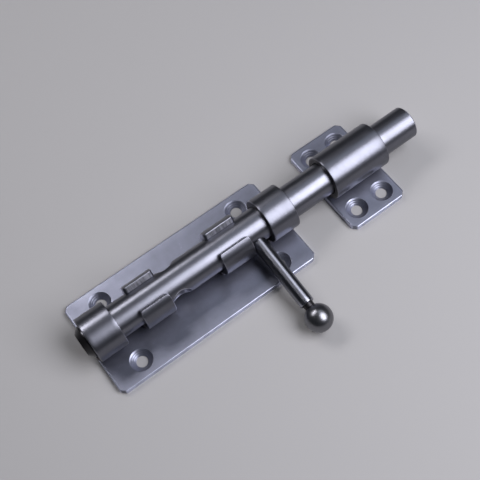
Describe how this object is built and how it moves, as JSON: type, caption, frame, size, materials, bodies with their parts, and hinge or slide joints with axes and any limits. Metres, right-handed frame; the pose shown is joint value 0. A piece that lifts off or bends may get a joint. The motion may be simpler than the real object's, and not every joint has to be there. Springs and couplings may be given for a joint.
{
  "type": "sliding barrel bolt",
  "caption": "Surface-mounted steel sliding bolt: a round bar in welded collars and open guides, turned and drawn by a ball-ended handle, with a separate keeper tube on its own plate.",
  "frame": {"origin": "centre of the base plate's mounting face, midway between its four screw holes", "axes": "+X along the bolt towards the keeper, +Z away from the surface the plates are screwed to, the handle on the -Y side at rest"},
  "size_m": [0.1815, 0.0817, 0.0246],
  "materials": {
    "plate_steel": "satin",
    "tube_steel": "satin",
    "bar_steel": "satin",
    "knob_steel": "polished",
    "weld_steel": "as welded"
  },
  "bodies": {
    "base": {"base_plate": "plate_steel", "rear_collar": "tube_steel", "front_collar": "tube_steel", "rear_guide": "tube_steel", "front_guide": "tube_steel", "base_welds": "weld_steel"},
    "bolt": {"bolt_rod": "bar_steel", "handle_stem": "bar_steel", "ball_knob": "knob_steel"},
    "keeper": {"keeper_plate": "plate_steel", "keeper_tube": "tube_steel", "keeper_welds": "weld_steel"}
  },
  "joints": [
    {"name": "bolt_turn", "type": "hinge", "parent": "base", "child": "bolt", "pos_m": [0, 0, 0.0136], "axis": [-1, 0, 0], "range_deg": [0, 194]},
    {"name": "keeper_slide", "type": "slide", "parent": "base", "child": "keeper", "axis": [1, 0, 0], "range_m": [-0.02, 0.06]}
  ]
}
